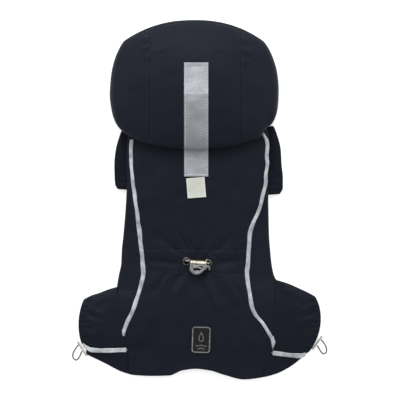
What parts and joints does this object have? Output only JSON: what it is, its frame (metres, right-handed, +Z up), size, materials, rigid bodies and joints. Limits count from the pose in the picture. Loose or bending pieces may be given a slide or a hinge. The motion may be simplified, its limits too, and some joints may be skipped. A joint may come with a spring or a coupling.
{
  "type": "dog raincoat",
  "caption": "Small dog's hooded raincoat in dark cloth, laid flat with its back up: reflective tape and piping, short sleeves and legs, waist drawcord with a metal lock.",
  "frame": {"origin": "on the flat underside of the belly panel, on the coat's centre line, level with the middle of the back", "axes": "+Y from the hem to the hood, +X to the coat's right as seen from above, +Z up out of the back"},
  "size_m": [0.266, 0.3739, 0.0386],
  "materials": {
    "navy_cloth": "fine coated weave, very dark navy, soft sheen",
    "reflective_silver": "retroreflective silver tape",
    "ivory_label": "woven, ivory",
    "black_patch": "soft matte black, grey border",
    "bright_metal": "polished pale metal",
    "silver_cord": "braided elastic, silver grey",
    "ivory_plastic": "matte ivory",
    "grey_cord": "fine dark elastic"
  },
  "bodies": {
    "root": {"back_panel": "navy_cloth", "side_panel_left": "navy_cloth", "side_panel_right": "navy_cloth", "belly_panel": "navy_cloth", "hood_center": "navy_cloth", "hood_left": "navy_cloth", "hood_right": "navy_cloth", "sleeve_left": "navy_cloth", "sleeve_right": "navy_cloth", "rear_leg_left": "navy_cloth", "rear_leg_right": "navy_cloth", "rear_hem_left": "navy_cloth", "rear_hem_right": "navy_cloth", "reflective_tape_hood": "reflective_silver", "reflective_tape_back": "reflective_silver", "piping_left": "reflective_silver", "piping_right": "reflective_silver", "leg_strip_left": "reflective_silver", "leg_strip_right": "reflective_silver", "neck_label": "ivory_label", "back_badge": "black_patch", "eyelet_left": "bright_metal", "eyelet_right": "bright_metal", "cord_lock": "bright_metal", "waist_cord_left": "silver_cord", "waist_cord_right": "silver_cord", "waist_cord_end": "silver_cord", "leg_cord_bar_left": "ivory_plastic", "leg_cord_bar_right": "ivory_plastic", "leg_cord_loop_left": "grey_cord", "leg_cord_loop_right": "grey_cord"}
  },
  "joints": []
}
